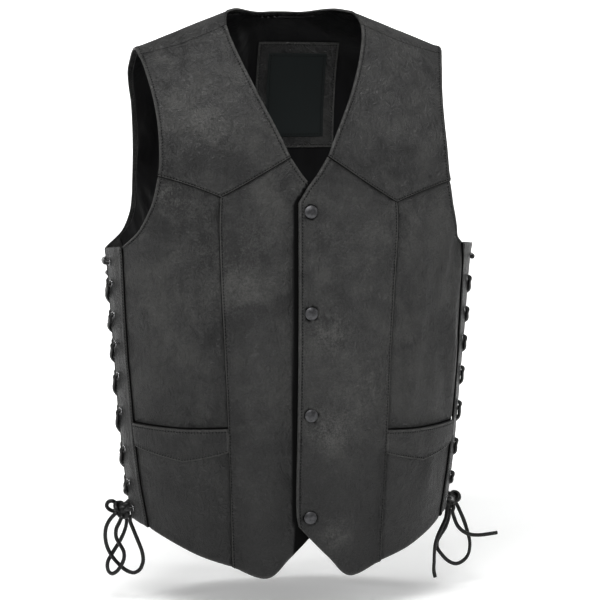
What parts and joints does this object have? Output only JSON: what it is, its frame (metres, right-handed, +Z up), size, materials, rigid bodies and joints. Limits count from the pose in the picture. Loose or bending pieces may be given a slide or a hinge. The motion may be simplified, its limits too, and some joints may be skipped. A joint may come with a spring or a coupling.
{
  "type": "leather vest",
  "caption": "Sleeveless leather vest with a V neck, snap front, pointed yokes, pocket welts and laced sides, filled out as if worn and open at neck, hem and armholes.",
  "frame": {"origin": "midway between the neck ends of the two shoulders, at the height of the shoulder line there", "axes": "+Z up the wearer's body, front towards -Y, the wearer's left towards +X"},
  "size_m": [0.4925, 0.2509, 0.7048],
  "materials": {
    "leather": "soft semi-matte, lightly worn",
    "lining": "smooth satin",
    "woven_label": "matt woven",
    "snap_metal": "gunmetal, satin",
    "eyelet_metal": "dark, semi-gloss",
    "lace": "dark, semi-matte"
  },
  "bodies": {
    "root": {"back": "leather", "label_frame": "leather", "yoke_right": "leather", "front_centre_right": "leather", "side_upper_right": "leather", "side_lower_right": "leather", "lace_strip_right": "leather", "pocket_welt_right": "leather", "yoke_left": "leather", "front_centre_left": "leather", "side_upper_left": "leather", "side_lower_left": "leather", "lace_strip_left": "leather", "pocket_welt_left": "leather", "back_lining": "lining", "label": "woven_label", "snap_cap_1": "snap_metal", "snap_cap_2": "snap_metal", "snap_cap_3": "snap_metal", "snap_cap_4": "snap_metal", "snap_stud_1": "snap_metal", "snap_stud_2": "snap_metal", "snap_stud_3": "snap_metal", "snap_stud_4": "snap_metal", "eyelet_right_1": "eyelet_metal", "eyelet_right_2": "eyelet_metal", "eyelet_right_3": "eyelet_metal", "eyelet_right_4": "eyelet_metal", "eyelet_right_5": "eyelet_metal", "eyelet_right_6": "eyelet_metal", "eyelet_right_7": "eyelet_metal", "eyelet_right_8": "eyelet_metal", "eyelet_right_9": "eyelet_metal", "eyelet_left_1": "eyelet_metal", "eyelet_left_2": "eyelet_metal", "eyelet_left_3": "eyelet_metal", "eyelet_left_4": "eyelet_metal", "eyelet_left_5": "eyelet_metal", "eyelet_left_6": "eyelet_metal", "eyelet_left_7": "eyelet_metal", "eyelet_left_8": "eyelet_metal", "eyelet_left_9": "eyelet_metal", "lace_right": "lace", "lace_left": "lace", "knot_right": "lace", "knot_left": "lace", "bow_right_loop_large": "lace", "bow_right_loop_small": "lace", "bow_right_loop_long": "lace", "bow_left_loop_large": "lace", "bow_left_end_1": "lace", "bow_left_end_2": "lace"}
  },
  "joints": []
}
